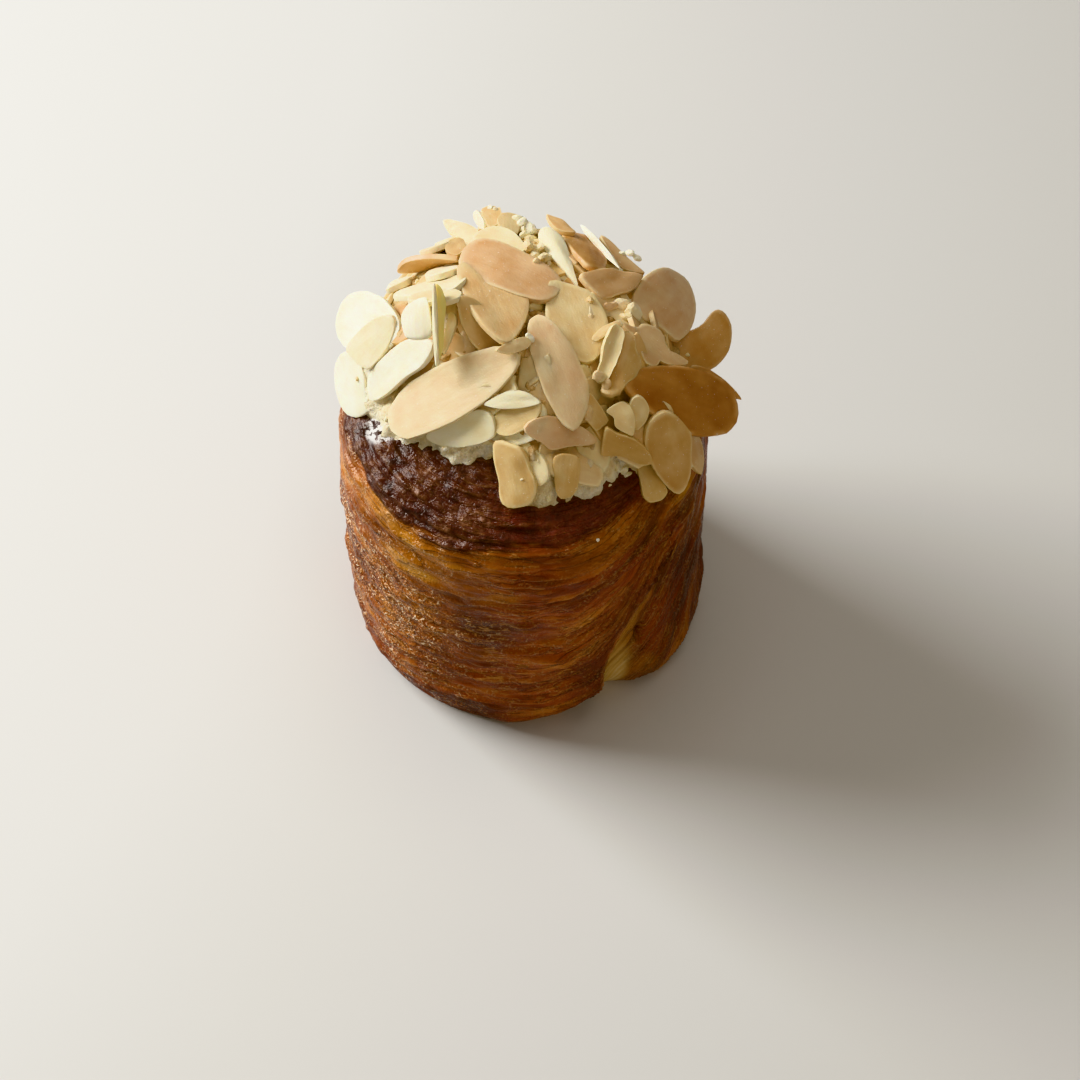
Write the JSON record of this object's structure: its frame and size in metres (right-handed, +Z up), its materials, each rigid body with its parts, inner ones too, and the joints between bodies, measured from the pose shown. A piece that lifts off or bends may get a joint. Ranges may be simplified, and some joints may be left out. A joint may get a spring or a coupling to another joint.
{
  "type": "almond croissant",
  "caption": "Tall drum-shaped almond croissant of laminated dough, baked in a ring, topped with a heap of almond cream and sliced almonds.",
  "frame": {"origin": "centre of the drum on the flat face it rests on", "axes": "+Z up along the drum's axis, -Y the front, +X to the right seen from the front"},
  "size_m": [0.0777, 0.0735, 0.0887],
  "materials": {
    "crust": "egg-washed baked crust, satin, red-brown to dark brown with golden layer edges",
    "almond": "blanched sliced almonds, ivory to toasted tan, satin, over pale almond cream"
  },
  "bodies": {
    "root": {"pastry": "crust", "almond_topping": "almond"}
  },
  "joints": []
}
